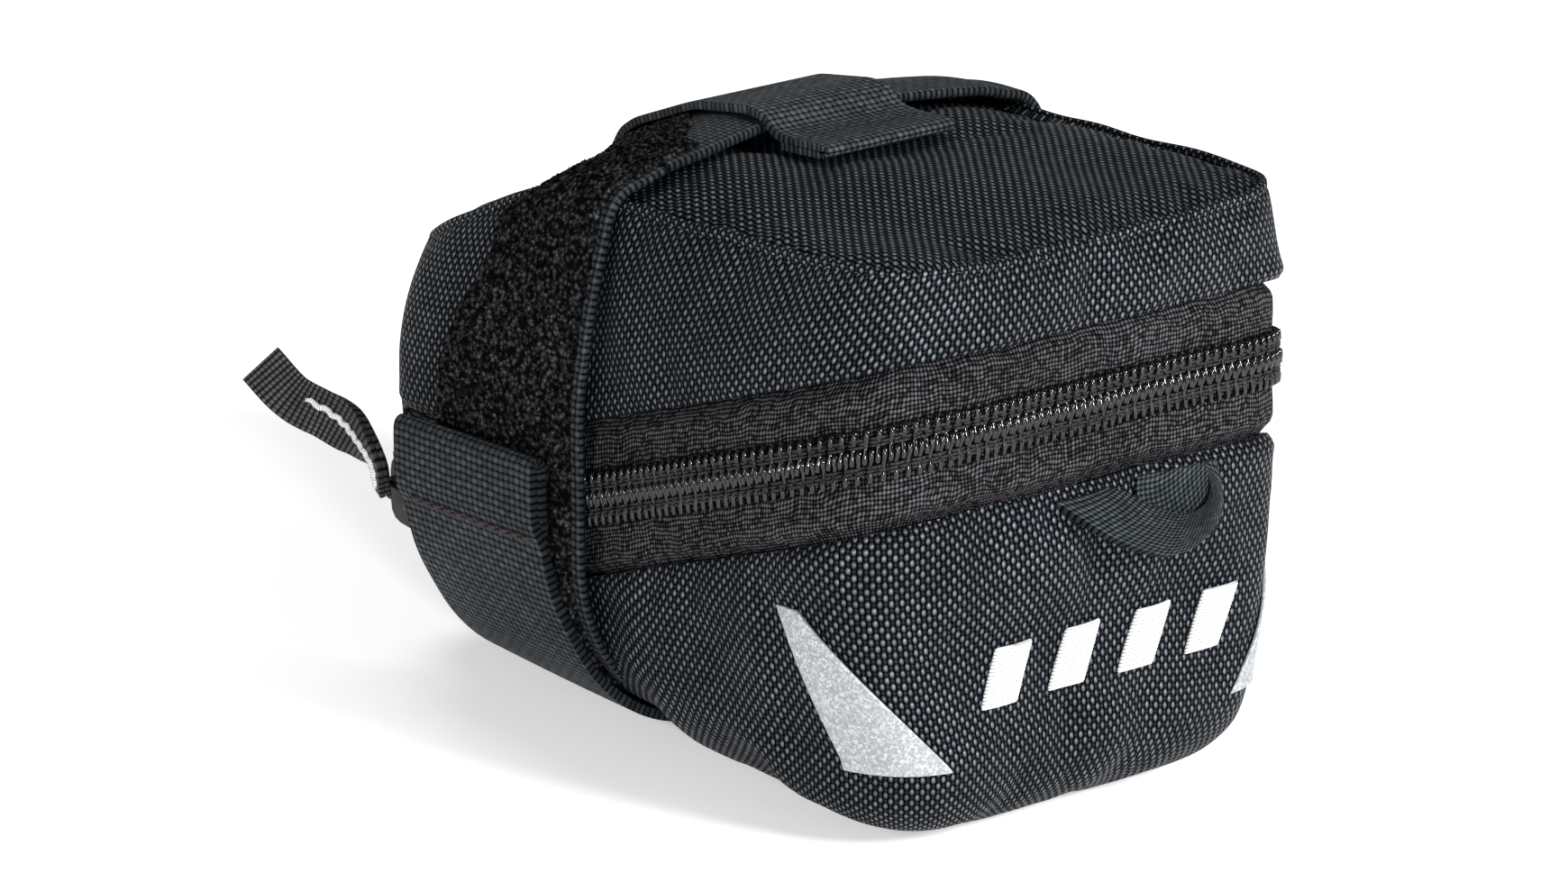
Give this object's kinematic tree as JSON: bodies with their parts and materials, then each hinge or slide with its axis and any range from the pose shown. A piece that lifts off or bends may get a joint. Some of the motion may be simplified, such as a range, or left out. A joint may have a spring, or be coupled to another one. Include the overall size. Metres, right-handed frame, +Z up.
{
  "type": "saddle bag",
  "caption": "Small wedge saddle bag with a wrap-around coil zip, a hook-and-loop belt, a top keeper, a rear light loop and corner reflectors.",
  "frame": {"origin": "middle of the flat resting area of the base", "axes": "+Z up from the base, +Y forward towards the seatpost, +X to the right; the light loop and the zip bend face -Y"},
  "size_m": [0.0855, 0.1056, 0.0733],
  "materials": {
    "fabric": "matte",
    "webbing": "matte",
    "zip_tape": "matte",
    "zip_coil": "gloss",
    "lining": "matte",
    "reflective_film": "satin",
    "white_thread": "satin",
    "loop_pile": "matte",
    "hook_tape": "matte",
    "foam": "matte",
    "stiffener_plastic": "satin",
    "black_metal": "gloss"
  },
  "bodies": {
    "lid": {"lid_band": "fabric", "front_panel_upper": "fabric", "lid_top_panel": "fabric", "lid_foam": "foam", "lid_lining": "lining", "lid_seam_binding": "webbing", "zip_tape_upper": "zip_tape", "zip_coil_upper": "zip_coil", "zip_stop_left": "black_metal", "zip_stop_right": "black_metal", "strap_top": "webbing", "strap_keeper": "webbing"},
    "body": {"zip_tape_lower": "zip_tape", "zip_coil_lower": "zip_coil", "body_wall": "fabric", "front_panel_lower": "fabric", "base_panel": "fabric", "base_stiffener": "stiffener_plastic", "body_lining": "lining", "light_loop": "webbing", "reflector_left": "reflective_film", "reflector_right": "reflective_film", "embroidered_bar_1": "white_thread", "embroidered_bar_2": "white_thread", "embroidered_bar_3": "white_thread", "embroidered_bar_4": "white_thread"},
    "strap_lower": {"strap_under": "webbing"},
    "tail": {"strap_tail": "webbing", "strap_hook_patch": "hook_tape"},
    "pile_arm": {"strap_pile_webbing": "webbing", "strap_loop_pile": "loop_pile"},
    "slider": {"zip_slider": "black_metal"},
    "pull": {"pull_tab": "webbing", "pull_reflective_thread": "reflective_film"}
  },
  "joints": [
    {"name": "bag_open", "type": "hinge", "parent": "lid", "child": "body", "pos_m": [0, 0.06652, 0.01998], "axis": [1, 0, 0], "range_deg": [0, 37.5]},
    {"name": "strap_under_swing", "type": "hinge", "parent": "lid", "child": "strap_lower", "pos_m": [0.0379, 0.03445, 0.01289], "axis": [0, -0.995, 0.0995], "range_deg": [0, 100]},
    {"name": "strap_tail_peel", "type": "hinge", "parent": "strap_lower", "child": "tail", "pos_m": [-0.04085, 0.03943, 0.01239], "axis": [0, -0.995, 0.0995], "range_deg": [0, 95]},
    {"name": "strap_pile_swing", "type": "hinge", "parent": "lid", "child": "pile_arm", "pos_m": [-0.0261, 0.04001, 0.06846], "axis": [0, 0.995, -0.0995], "range_deg": [0, 15]},
    {"name": "slider_travel", "type": "slide", "parent": "lid", "child": "slider", "axis": [-0.1301, -0.9463, 0.2959], "range_m": [0, 0.0035]},
    {"name": "pull_swing", "type": "hinge", "parent": "slider", "child": "pull", "pos_m": [-0.0382, 0.06031, 0.0212], "axis": [0, 0.0995, 0.995], "range_deg": [-10, 60]}
  ],
  "couplings": [
    {"joint": "strap_under_swing", "follows": "bag_open", "ratio": 2.65},
    {"joint": "strap_pile_swing", "follows": "strap_tail_peel", "ratio": 0.15}
  ]
}
